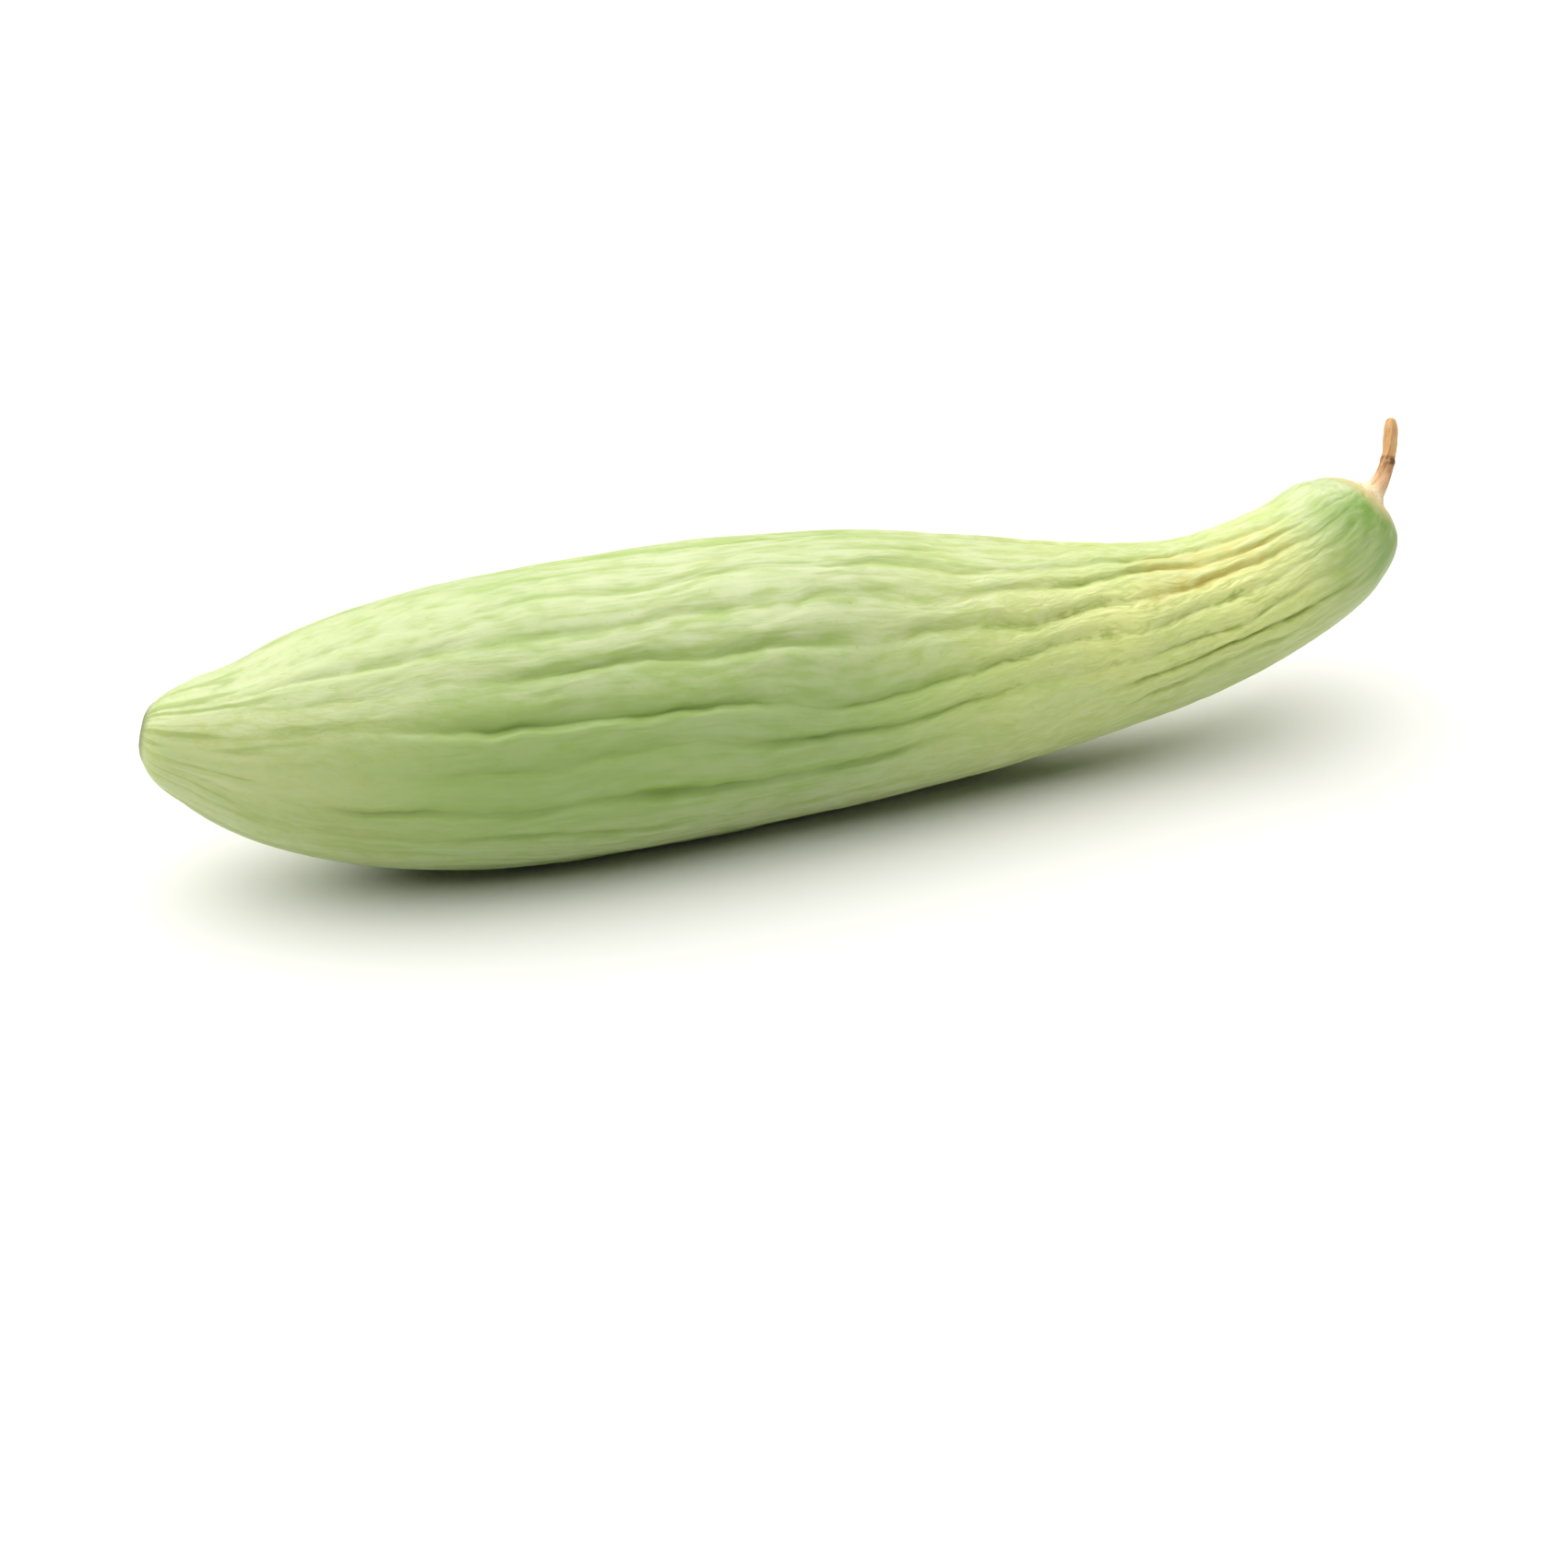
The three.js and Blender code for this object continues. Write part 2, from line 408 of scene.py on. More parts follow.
class Sampler:
    """The first part of a body's tree: a grid of vertices, and the rings' values at each one."""

    def __init__(self, name: str, counts: dict[str, int], sizes: dict[str, float]) -> None:
        """Starts the tree with its named inputs.

        Args:
            name: The tree's name.
            counts: Whole numbers by input name, among them Columns and Rows.
            sizes: Other numbers by input name.
        """
        self.tree = bpy.data.node_groups.new(name, "GeometryNodeTree")
        self.values: dict[str, float] = {**counts, **sizes}
        face = self.tree.interface
        face.new_socket("Rings", in_out="INPUT", socket_type="NodeSocketGeometry")
        for key in counts:
            face.new_socket(key, in_out="INPUT", socket_type="NodeSocketInt")
        for key in sizes:
            face.new_socket(key, in_out="INPUT", socket_type="NodeSocketFloat")
        face.new_socket("Finish", in_out="INPUT", socket_type="NodeSocketMaterial")
        face.new_socket("Body", in_out="OUTPUT", socket_type="NodeSocketGeometry")
        self.start = add_node(self.tree, "NodeGroupInput")
        index = Field(self.tree, add_node(self.tree, "GeometryNodeInputIndex").outputs[0])
        around = self.input("Columns")
        self.row = (index / (around + 1.0)).math("FLOOR")
        column = (index - self.row * (around + 1.0)).math("MODULO", around)
        self.turn = column / around

    def input(self, name: str) -> Field:
        """Returns the tree's input of that name."""
        return Field(self.tree, self.start.outputs[name])

    def at(self, name: str, index: Field, kind: str = "FLOAT") -> Field:
        """Reads a value kept on the rings.

        Args:
            name: The attribute's name, or "position".
            index: Which point to read.
            kind: The attribute's data type.

        Returns:
            The value there.
        """
        if name == "position":
            source = add_node(self.tree, "GeometryNodeInputPosition").outputs[0]
        else:
            named = add_node(self.tree, "GeometryNodeInputNamedAttribute", {"Name": name}, data_type=kind)
            source = next(s for s in named.outputs if s.name == "Attribute" and s.enabled)
        inputs = {"Geometry": self.start.outputs["Rings"], "Value": source, "Index": index}
        made = add_node(self.tree, "GeometryNodeSampleIndex", inputs, data_type=kind, domain="POINT")
        return Field(self.tree, next(s for s in made.outputs if s.enabled))

    def laid_out(self, along: Field, radius: Field | float) -> Field:
        """The vertex's place on the body laid out as a straight tube, where patterns are read.

        Args:
            along: Distance along the body, in millimetres.
            radius: The tube's radius there, in millimetres.

        Returns:
            The place, in millimetres.
        """
        parts = {"X": along, "Y": self.turn.cos_turn() * radius, "Z": self.turn.wave() * radius}
        return Field(self.tree, add_node(self.tree, "ShaderNodeCombineXYZ", parts).outputs[0])

    def seeded(self, place: Field) -> Field:
        """Shifts a place by the tree's seed, so that another seed gives another body.

        Args:
            place: A place on the body laid out straight.

        Returns:
            The shifted place.
        """
        parts = {0: place, 1: self.input("Seed")}
        made = add_node(self.tree, "ShaderNodeVectorMath", parts, operation="ADD")
        return Field(self.tree, made.outputs[0])

    def ring_point(self, angle: Field, radius: Field) -> Field:
        """A point on the ring of the current row.

        Args:
            angle: Turns round the ring, from the top.
            radius: Distance from the middle line, in millimetres.

        Returns:
            The position, in metres.
        """
        point = self.at("position", self.row, "FLOAT_VECTOR")
        for key, share in (("over", angle.cos_turn()), ("sideways", angle.wave())):
            reach = {0: self.at(key, self.row, "FLOAT_VECTOR"), "Scale": radius * share * MM}
            scaled = add_node(self.tree, "ShaderNodeVectorMath", reach, operation="SCALE")
            both = {0: point, 1: scaled.outputs[0]}
            added = add_node(self.tree, "ShaderNodeVectorMath", both, operation="ADD")
            point = Field(self.tree, added.outputs[0])
        return point

    def close(self, position: Field, values: dict[str, Field]) -> None:
        """Ends the tree: wraps the grid, merges its seam and gives it the finish.

        Args:
            position: Where each vertex goes.
            values: Values for the finish, by name. The one named "skin" is a place.
        """
        size = {"Size X": 1.0, "Size Y": 1.0}
        size |= {"Vertices X": self.input("Rows"), "Vertices Y": self.input("Columns") + 1.0}
        shape = add_node(self.tree, "GeometryNodeMeshGrid", size).outputs["Mesh"]
        for key, value in values.items():
            kind = "FLOAT_VECTOR" if key == "skin" else "FLOAT"
            inputs = {"Geometry": shape, "Name": key, "Value": value}
            options = {"data_type": kind, "domain": "POINT"}
            held = add_node(self.tree, "GeometryNodeStoreNamedAttribute", inputs, **options)
            shape = held.outputs[0]
        steps = (
            ("GeometryNodeSetPosition", {"Position": position}),
            ("GeometryNodeMergeByDistance", {"Distance": 1e-7}),
            ("GeometryNodeSetShadeSmooth", {}),
            ("GeometryNodeRealizeInstances", {}),
            ("GeometryNodeSetMaterial", {"Material": self.start.outputs["Finish"]}),
        )
        for kind, inputs in steps:
            shape = add_node(self.tree, kind, {"Geometry": shape, **inputs}).outputs[0]
        add_node(self.tree, "NodeGroupOutput", {"Body": shape})


def grow(name: str, points: bpy.types.Mesh, sampler: Sampler, finish: bpy.types.Material) -> bpy.types.Object:
    """Runs a body's tree on its rings and keeps the result as a plain mesh.

    Args:
        name: The piece's name.
        points: The mesh of rings.
        sampler: The closed tree.
        finish: The piece's material.

    Returns:
        The finished object, at the origin.
    """
    source = bpy.data.objects.new(name + "_rings", points)
    bpy.context.scene.collection.objects.link(source)
    modifier = source.modifiers.new("body", "NODES")
    modifier.node_group = sampler.tree
    values = {**sampler.values, "Finish": finish}
    for item in sampler.tree.interface.items_tree:
        if item.in_out == "INPUT" and item.name in values:
            modifier[item.identifier] = values[item.name]
    bpy.context.view_layer.update()
    evaluated = source.evaluated_get(bpy.context.evaluated_depsgraph_get())
    mesh = bpy.data.meshes.new_from_object(evaluated)
    mesh.name = name
    piece = bpy.data.objects.new(name, mesh)
    bpy.context.scene.collection.objects.link(piece)
    source.modifiers.clear()
    bpy.data.objects.remove(source)
    return piece


# Patterns and stretches


class Pattern(Enum):
    """Patterns on the pieces: a feature's length along and across in millimetres, layers, seed."""

    # Waviness and relief of the fruit
    DRIFT = (22.0, 16.0, 1.0, 0.4)
    SHIVER = (6.5, 6.0, 1.0, 4.6)
    UNEVEN = (13.0, 7.0, 1.0, 9.2)
    CREASE = (24.0, 3.8, 1.5, 0.6)
    FOLD = (10.0, 2.1, 1.5, 8.1)
    LUMP = (5.0, 3.2, 1.0, 2.7)
    BETWEEN = (18.0, 5.0, 1.0, 3.3)
    RAY = (38.0, 2.2, 1.5, 3.7)
    THIN_RAY = (55.0, 3.4, 1.0, 6.1)
    # Colour and fine bumps of the fruit's skin
    STREAK = (30.0, 2.2, 3.0, 3.1)
    FINE = (9.0, 0.8, 2.0, 7.7)
    DASH = (8.0, 1.7, 2.0, 4.2)
    BLOTCH = (7.0, 3.4, 2.0, 2.9)
    CLOUD = (26.0, 14.0, 2.0, 5.3)
    PUCKER = (7.0, 1.5, 2.0, 9.9)
    SPECK = (1.5, 1.1, 1.0, 11.0)
    GRAIN = (2.6, 0.6, 2.0, 1.9)
    PEBBLE = (3.4, 2.0, 2.0, 6.4)
    # The stem's relief, then its colour
    STEM_FIBRE = (6.0, 0.7, 2.0, 1.0)
    STEM_KNOB = (2.2, 1.5, 2.0, 3.0)
    STEM_LINE = (7.0, 0.42, 3.0, 2.2)
    STEM_CLOUD = (2.6, 1.6, 2.0, 4.4)

    def on(self, place: Field) -> Field:
        """Draws the pattern, about 0 and from -1 to 1.

        Args:
            place: A place on the body laid out straight.

        Returns:
            The pattern's value there.
        """
        return place.noise(*self.value)


class Stretch(Enum):
    """Stretches along the fruit: start, length of the rise, end, length of the fall, in millimetres."""

    WHOLE = (0.0, 14.0, 320.0, 14.0)
    NECK = (205.0, 45.0, 312.0, 40.0)
    YELLOW = (150.0, 85.0, 317.0, 40.0)
    TAN = (234.0, 24.0, 304.0, 26.0)
    BELLY_LEAN = (50.0, 35.0, 205.0, 45.0)
    FLANK_LEAN = (165.0, 45.0, 270.0, 45.0)
    SHOULDER_LEAN = (150.0, 25.0, 215.0, 30.0)
    RAYS = (0.2, 3.0, 64.0, 52.0)
    THIN_RAYS = (0.2, 2.0, 42.0, 34.0)
    DARK_BELOW = (8.0, 22.0, 92.0, 52.0)

    def on(self, s: Field) -> Field:
        """Is 1 inside the stretch, with soft ends.

        Args:
            s: Distance along the fruit, in millimetres.

        Returns:
            The height there, from 0 to 1.
        """
        return s.window(*self.value)


# Finishes


@dataclass(frozen=True)
class SkinFinish:
    """Thin waxy skin of a pale green fruit, satin, with painted shade darkening its furrows.

    Attributes:
        crown: Colour of the ribs' crowns.
        flank: Colour between crown and furrow, for the mottling and for the painted shade beside the furrows.
        furrow: Darker colour down in the furrows, painted shade.
        fold: Colour down in the furrows of the thin end, painted shade.
        low: Darker green painted on the lower sides, painted shade.
        neck: Yellower colour of the thin end.
        tan: Colour of the weathered creases in the neck.
        shoulder: Colour of the fresh green end under the stem.
        cork: Colour of the dry skin round the foot of the stem.
        tip: Yellower, paler colour of the blossom end, partly its own colour and partly painted light on its
            sides.
        pale: Colour of the light streaks that run out from the blossom scar.
        ray: Colour of the dark streaks between them, and of the painted shade under the blossom end.
        under: Deeper yellow-green on the lower sides from the middle to the neck, painted green bounce light.
        speck: Colour of the small green specks.
        scar: Colour of the blossom scar.
        roughness: Roughness of the waxy skin, before its patterns.
        sink_mm: How far light sinks into the flesh, in millimetres.
    """

    crown: str = "#c4cea0"
    flank: str = "#a6ba70"
    furrow: str = "#80a03e"
    fold: str = "#9cac3c"
    low: str = "#8cab58"
    neck: str = "#e2e69c"
    tan: str = "#d2b862"
    shoulder: str = "#779f3e"
    cork: str = "#dcc894"
    tip: str = "#cdc68c"
    pale: str = "#dde0b2"
    ray: str = "#8b9c50"
    under: str = "#acd058"
    speck: str = "#86a052"
    scar: str = "#6f7150"
    roughness: float = 0.48
    sink_mm: float = 3.2

    def material(self) -> bpy.types.Material:
        """Builds the node tree.

        Returns:
            The material.
        """
        # The real skin is a grown layer of wax over wet, pale flesh: broad soft highlights, and
        # edges that glow a little, because light sinks in and comes out again.
        made = blank_material("pale_green_skin")
        tree = made.node_tree
        skin = kept(tree, "skin", "Vector")
        neck, tan, ray = kept(tree, "neck"), kept(tree, "tan"), kept(tree, "ray")
        scar = kept(tree, "scar")
        streak, fine, dash = Pattern.STREAK.on(skin), Pattern.FINE.on(skin), Pattern.DASH.on(skin)
        pucker = Pattern.PUCKER.on(skin).math("ABSOLUTE")
        rough = streak * 0.05 + fine * 0.03 + self.roughness + scar * 0.3 + tan * 0.12
        height = fine * 0.07 + Pattern.GRAIN.on(skin) * 0.035 + Pattern.PEBBLE.on(skin) * 0.1
        height = height + dash * 0.15 + pucker * neck * 0.7
        bump = add_node(tree, "ShaderNodeBump", {"Strength": 0.6, "Distance": MM, "Height": height})
        # Level runs from crown, through flank, to furrow. The kept crease value is painted shade, darker with
        # the depth of the furrows, creases and wrinkles. In the neck, the puckers get painted shade in their
        # hollows and painted light on their tops. The patterns add the skin's own mottling.
        cloud = Pattern.CLOUD.on(skin)
        level = kept(tree, "crease") * 1.05 + streak * 0.26 + fine * 0.2
        level = level + Pattern.BLOTCH.on(skin) * 0.27 + dash * 0.24 + cloud * 0.22
        level = level + neck * pucker.ease(0.0, 0.4, 0.2, -0.2) - ray * 0.45
        low = kept(tree, "low")
        # Painted shade for the furrows and wrinkles, yellower in the thin end.
        furrow_shade_paint = Paint(tree, self.furrow)
        furrow_shade_paint.lay(neck * 0.8, self.fold)
        paint = Paint(tree, self.crown)
        paint.lay(level.ease(-0.15, 0.42), self.flank)
        # Painted shade: darker green on the lower sides.
        paint.lay(low, self.low)
        paint.lay(neck * (cloud * 0.5 + 0.72), self.neck)
        # Painted bounce light: green light reflected onto the lower sides towards the neck.
        paint.lay(low * neck * 1.3, self.under)
        paint.lay(level.ease(0.32, 1.15) * (neck * 0.1 + 1.0), furrow_shade_paint)
        paint.lay(kept(tree, "fresh") * (streak * 0.5 + cloud * 0.4 + 0.75).ease(0.1, 0.9), self.shoulder)
        # Paler blossom end, partly its own colour and partly painted light.
        paint.lay(kept(tree, "tip") * (streak * 0.8 + 0.6), self.tip)
        paint.lay(ray.ease(0.05, 0.6) * 0.34, self.pale)
        # Dark streaks, and painted shade under the blossom end.
        paint.lay(ray.ease(-0.06, -0.4) * 0.48, self.ray)
        paint.lay(tan, self.tan)
        paint.lay(Pattern.SPECK.on(skin).ease(0.4, 0.6) * 0.25, self.speck)
        paint.lay(scar, self.scar)
        dry = kept(tree, "dry")
        paint.lay(dry + streak * dry * 0.5, self.cork)
        surface = {
            "Base Color": paint.color,
            "Roughness": rough,
            "Normal": bump.outputs[0],
            "Subsurface Weight": 0.4,
            "Subsurface Radius": (1.0, 1.4, 0.5),
            "Subsurface Scale": self.sink_mm * MM,
            "Specular IOR Level": 0.4,
            "Coat Weight": 0.08,
            "Coat Roughness": 0.35,
        }
        shader = add_node(tree, "ShaderNodeBsdfPrincipled", surface, subsurface_method="RANDOM_WALK")
        add_node(tree, "ShaderNodeOutputMaterial", {"Surface": shader.outputs[0]})
        return made


@dataclass(frozen=True)
class StemFinish:
    """Dried fibrous stem, matt tan, with a pale corky foot and a dark node.

    Attributes:
        shaft: Colour of the upper shaft.
        lower: Colour of the lower shaft.
        cork: Colour of the foot.
        fibre: Colour of the lines between fibres.
        node: Colour of the dark node part way up.
        worn: Pale colour where the outer layer has worn off.
    """

    shaft: str = "#d9ab78"
    lower: str = "#e0b48b"
    cork: str = "#efdcb6"
    fibre: str = "#9a6e44"
    node: str = "#5c3c20"
    worn: str = "#ecd3a4"

    def material(self) -> bpy.types.Material:
        """Builds the node tree.

        Returns:
            The material.
        """
        # The real stem is a bundle of plant fibres that has dried and shrunk: dull like soft
        # wood, with dark lines along it where the fibres part.
        made = blank_material("dried_stem")
        tree = made.node_tree
        skin, up = kept(tree, "skin", "Vector"), kept(tree, "up")
        fibre, cloud = Pattern.STEM_LINE.on(skin), Pattern.STEM_CLOUD.on(skin)
        lines = fibre + cloud * 0.35 + up.window(6.0, 3.0, 12.8, 1.0) * 0.4
        spot = up.window(9.8, 0.9, 12.6, 1.2) * (cloud * 0.8 + fibre * 0.6).ease(-0.2, 0.3)
        paint = Paint(tree, self.lower)
        paint.lay(up.ease(8.5, 12.5), self.shaft)
        paint.lay(up.ease(2.0, 6.5, 1.0, 0.0), self.cork)
        paint.lay(lines.ease(0.05, 0.5) * 0.62, self.fibre)
        paint.lay(spot * 0.85, self.node)
        paint.lay((cloud * -1.0).ease(0.1, 0.6) * 0.35, self.worn)
        height = fibre * 0.12 + cloud * 0.06
        bump = add_node(tree, "ShaderNodeBump", {"Strength": 0.8, "Distance": MM, "Height": height})
        surface = {"Base Color": paint.color, "Roughness": 0.82, "Specular IOR Level": 0.25}
        shader = add_node(tree, "ShaderNodeBsdfPrincipled", {**surface, "Normal": bump.outputs[0]})
        add_node(tree, "ShaderNodeOutputMaterial", {"Surface": shader.outputs[0]})
        return made


@dataclass(frozen=True)
class FloorFinish:
    """Matt white paper sweep.

    Attributes:
        color: The paper's colour.
    """

    color: str = "#e2e2e0"

    def material(self) -> bpy.types.Material:
        """Builds the node tree.

        Returns:
            The material.
        """
        # Uncoated paper scatters light evenly, so it shows only the shadow.
        made = blank_material("white_paper")
        surface = {"Base Color": linear(self.color), "Roughness": 0.9, "Specular IOR Level": 0.1}
        shader = add_node(made.node_tree, "ShaderNodeBsdfPrincipled", surface)
        add_node(made.node_tree, "ShaderNodeOutputMaterial", {"Surface": shader.outputs[0]})
        return made


# The pieces


@dataclass(frozen=True)
class SkinPlace:
    """What the fruit's formulas read at each vertex.

    Attributes:
        made: The first part of the tree.
        s: Distance along the fruit, in millimetres.
        full: Radius of the ring, in millimetres.
        rib: Turns round the fruit, counted in ribs.
        skin: Place on the fruit laid out straight.
        seeded: The same, shifted by the seed.
        neck: How far the vertex belongs to the thin end.
        uneven: Slow pattern that makes marks uneven.
    """

    made: Sampler
    s: Field
    full: Field
    rib: Field
    skin: Field
    seeded: Field
    neck: Field
    uneven: Field


@dataclass(frozen=True)
class Grooves:
    """How the furrows and creases shape the fruit at each vertex.

    Attributes:
        furrows: Depth of the even furrows between ribs, in millimetres.
        creases: Depth of the sharper creases, in millimetres.
        swollen: Height of the swollen skin beside the creases, in millimetres.
        across: Share of the way from one furrow to the next.
    """

    furrows: Field
    creases: Field
    swollen: Field
    across: Field


@dataclass(frozen=True)
class Wrinkles:
    """The fine marks between the furrows at each vertex, each from 0 to about 1.

    Attributes:
        creased: Thin lines along the fruit.
        folded: Small folds of the neck.
        between: Faint furrows half way between two others.
        lump: Small lumps.
    """

    creased: Field
    folded: Field
    between: Field
    lump: Field


@dataclass
class Fruit:
    """The furrowed fruit, from the dry scar at one end to the seat of the stem at the other.

    Attributes:
        ribs: Number of ribs, and of furrows.
        per_rib: Columns of the grid in each rib.
        rows: Rows of the grid.
        furrow: Mean depth of a furrow, in millimetres.
        furrow_change: How far that depth changes along the fruit, in millimetres.
        swell: Height of the slow swellings, in millimetres.
        wrinkle: Depth of the fine wrinkles, in millimetres.
        seed: Seed of all patterns in the shape.
        line: The middle line.
        outline: Distance along the fruit and radius there, in millimetres.
        twist: Distance along the fruit, and how far the furrows have turned there, in ribs.
        creases: Furrow number, start and end in millimetres, and depth in millimetres.
    """

    ribs: int = 22
    per_rib: int = 13
    rows: int = 330
    furrow: float = 0.3
    furrow_change: float = 0.22
    swell: float = 0.3
    wrinkle: float = 0.16
    seed: float = 4.0
    line: MiddleLine = MiddleLine(
        (
            (-159.7, 11.1, 40.1), (-149.6, 6.7, 38.2), (-132.8, 3.1, 35.6), (-103.8, 0.4, 34.3),
            (-74.6, -0.4, 34.1), (-45.4, -0.1, 33.9), (-16.3, 1.1, 33.85), (12.8, 1.8, 32.65),
            (42.0, 1.3, 31.4), (71.1, 0.3, 30.7), (100.2, 0.7, 32.0), (128.4, 3.6, 38.6),
            (143.5, 6.5, 45.9), (152.8, 8.9, 53.1),
        )
    )
    outline: tuple[tuple[float, float], ...] = (
        (0, 4.4), (1.3, 7.0), (6.6, 12.1), (19.6, 18.9), (33.1, 24.8), (50.4, 29.9),
        (69.2, 33.2), (90.0, 34.7), (117.0, 35.0), (146.0, 34.55), (175.0, 32.85), (204.0, 29.2),
        (233.0, 24.2), (263.0, 20.0), (290.0, 17.9), (306.0, 16.8), (315.0, 13.6), (319.2, 9.2),
        (320.5, 5.6),
    )
    twist: tuple[tuple[float, float], ...] = (
        (0, 0.16), (40, 0.08), (80, -0.05), (110, -0.15), (150, -0.42), (180, -0.44),
        (210, -0.36), (235, 0.1), (260, 0.42), (290, 0.55), (320.5, 0.46),
    )
    creases: tuple[tuple[int, float, float, float], ...] = (
        (15, 60, 135, 0.5), (15, 236, 290, 0.5),
        (16, 222, 300, 0.75), (16, 30, 98, 0.9), (16, 92, 190, 1.1),
        (17, 60, 125, 0.4), (17, 124, 205, 1.0), (17, 190, 246, 0.4), (17, 236, 300, 0.6),
        (18, 38, 90, 0.5), (18, 60, 146, 1.15), (18, 128, 168, 0.35), (18, 150, 242, 0.9),
        (18, 228, 292, 0.65),
        (19, 70, 165, 0.7), (19, 126, 182, 0.2), (19, 168, 250, 0.8), (19, 236, 298, 0.75),
        (20, 18, 75, 0.45), (20, 72, 150, 0.35), (20, 138, 204, 0.22), (20, 185, 262, 0.6),
        (20, 236, 302, 0.6),
        (21, 90, 190, 0.18), (21, 160, 228, 0.25), (21, 215, 298, 0.45),
        (0, 100, 200, 0.2),
    )

    def rings(self) -> Rings:
        """Places the rings, closer together where the ends round off.

        Returns:
            The rings, with the sunken scar at the first end.
        """
        length = self.outline[-1][0]
        scar = np.linspace(0, 4.2, 9)
        seat = np.linspace(5.0, 0, 6)
        share = crowded_ends(self.rows - len(scar) - len(seat))
        curve = spline(list(self.outline), False)
        radius = np.interp(share * length, curve[:, 0], curve[:, 1])
        sunk = 0.55 * (1 - smooth((scar - 2.2) / 2.3)) + 0.12 * np.cos(scar * 2.4)
        return Rings(
            self.line,
            np.concatenate([0 * scar, share, 0 * seat + 1]),
            np.concatenate([scar, radius, seat]),
            np.concatenate([sunk, 0 * share, 0 * seat]),
            length,
        )

    def depths(self, s: np.ndarray) -> dict[str, np.ndarray]:
        """How deep each furrow is at each ring, and how sharply it is creased.

        Args:
            s: Distance of each ring along the fruit, in millimetres.

        Returns:
            Values for every ring of every furrow, by attribute name.
        """
        ends = (0.3 + 0.7 * smooth((s - 6) / 50)) * (1 - 0.72 * smooth((s - 296) / 22))
        deep, sharp = [], []
        for k in range(self.ribs):
            slow = np.sin(2 * np.pi * (s / 83 + GOLDEN * k))
            slow = slow + 0.7 * np.sin(2 * np.pi * (s / 47 + 0.37 + GOLDEN * 3 * k))
            extra = sum((e * stroke(s, a, b) for line, a, b, e in self.creases if line == k), 0 * s)
            if 1 <= k <= 12:  # the side turned away, where the creases follow a rule
                start = 35 + 75 * ((GOLDEN * k) % 1)
                extra = extra + 0.9 * stroke(s, start, start + 105)
                extra = extra + 0.7 * stroke(s, start + 115, start + 190)
            deep.append(np.maximum(0.06, self.furrow + self.furrow_change * 0.6 * slow) * ends)
            sharp.append(extra * ends)
        return {"deep": np.concatenate(deep), "sharp": np.concatenate(sharp)}

    def angle(self, p: SkinPlace) -> Field:
        """Turns each vertex round the fruit, so that the furrows wander, lean and twist.

        Args:
            p: What the formulas read.

        Returns:
            Turns round the fruit, from the top.
        """
        turn, s, rib = p.made.turn, p.s, p.rib
        wander = (
            (turn * 5.0 + s / 260 - 0.1136).wave() * 0.15
            + (turn * -3.0 + s / 91 + 0.41).wave() * 0.09
            + (turn * 8.0 - s / 43 + 0.77).wave() * 0.05
        )
        drift = Pattern.DRIFT.on(p.seeded) * (p.neck * 0.2 + 0.16)
        drift = drift + Pattern.SHIVER.on(p.seeded) * (p.neck * 0.05 + 0.09)
        lean = rib.window(18.0, 1.2, 22.0, 1.5) * 0.2 - rib.window(13.0, 2.0, 19.0, 1.2) * 0.22
        drift = drift + lean * Stretch.BELLY_LEAN.on(s)
        drift = drift + rib.window(16.0, 1.5, 19.0, 0.9) * Stretch.FLANK_LEAN.on(s) * 0.26
        drift = drift + rib.window(18.2, 0.6, 19.9, 0.7) * Stretch.SHOULDER_LEAN.on(s) * 0.16
        twisted = rib + p.made.at("twist", p.made.row) + wander + drift
        return twisted / p.made.input("Ribs")

    def grooves(self, p: SkinPlace) -> Grooves:
        """Shapes the furrow on either side of each vertex.

        Args:
            p: What the formulas read.

        Returns:
            The furrows, the creases and the swollen skin beside them.
        """
        lower = p.rib.math("FLOOR")
        upper = (lower + 1.0).math("MODULO", p.made.input("Ribs"))
        across = p.rib - lower
        after, before = across, (across - 1.0) * -1.0
        rows = p.made.input("Rows")
        points = [k * rows + p.made.row for k in (lower, upper)]
        deep = [p.made.at("deep", point) * (p.uneven * 0.6 + 1.0) for point in points]
        sharp = [p.made.at("sharp", point) * (p.uneven * 0.45 + 1.0) for point in points]
        furrows = deep[0] * after.slope(0.5, 1.8) + deep[1] * before.slope(0.5, 1.8)
        # A crease has a long slope above and a short one below, and is a wide valley in the neck.
        crisp = sharp[0] * after.slope(0.58, 2.0) + sharp[1] * before.slope(0.28, 3.0)
        wide = sharp[0] * after.ease(0.0, 0.48, 0.85, 0.0) + sharp[1] * before.ease(0.0, 0.4, 0.85, 0.0)
        soft = p.s.ease(140.0, 205.0, 0.0, 0.85) * p.s.ease(205.0, 285.0, 1.0, 0.45)
        lip = sharp[1] * before.window(0.04, 0.12, 0.46, 0.25) * 0.26
        brow = sharp[0] * after.window(0.06, 0.26, 0.85, 0.5) * 0.5
        return Grooves(furrows, crisp * (soft * -1.0 + 1.0) + wide * soft, lip + brow, across)

    def wrinkles(self, p: SkinPlace, across: Field) -> Wrinkles:
        """Draws the fine marks of the skin.

        Args:
            p: What the formulas read.
            across: Share of the way from one furrow to the next.

        Returns:
            The fine marks.
        """
        line = Pattern.CREASE.on(p.seeded).math("ABSOLUTE").slope(0.2, 1.4)
        fold = Pattern.FOLD.on(p.seeded).math("ABSOLUTE").slope(0.3, 1.2)
        middle = (across - 0.5).math("ABSOLUTE").slope(0.26, 1.6)
        return Wrinkles(
            line * (p.uneven * 0.8 + 0.8) * (p.neck * -0.6 + 1.0) * p.s.ease(10.0, 90.0, 0.3, 1.0),
            fold * p.neck * (p.uneven * 0.6 + 1.0),
            middle * (p.neck * 0.68 + 0.32) * Pattern.BETWEEN.on(p.seeded).ease(-0.35, 0.3),
            Pattern.LUMP.on(p.seeded) * p.s.ease(40.0, 130.0),
        )

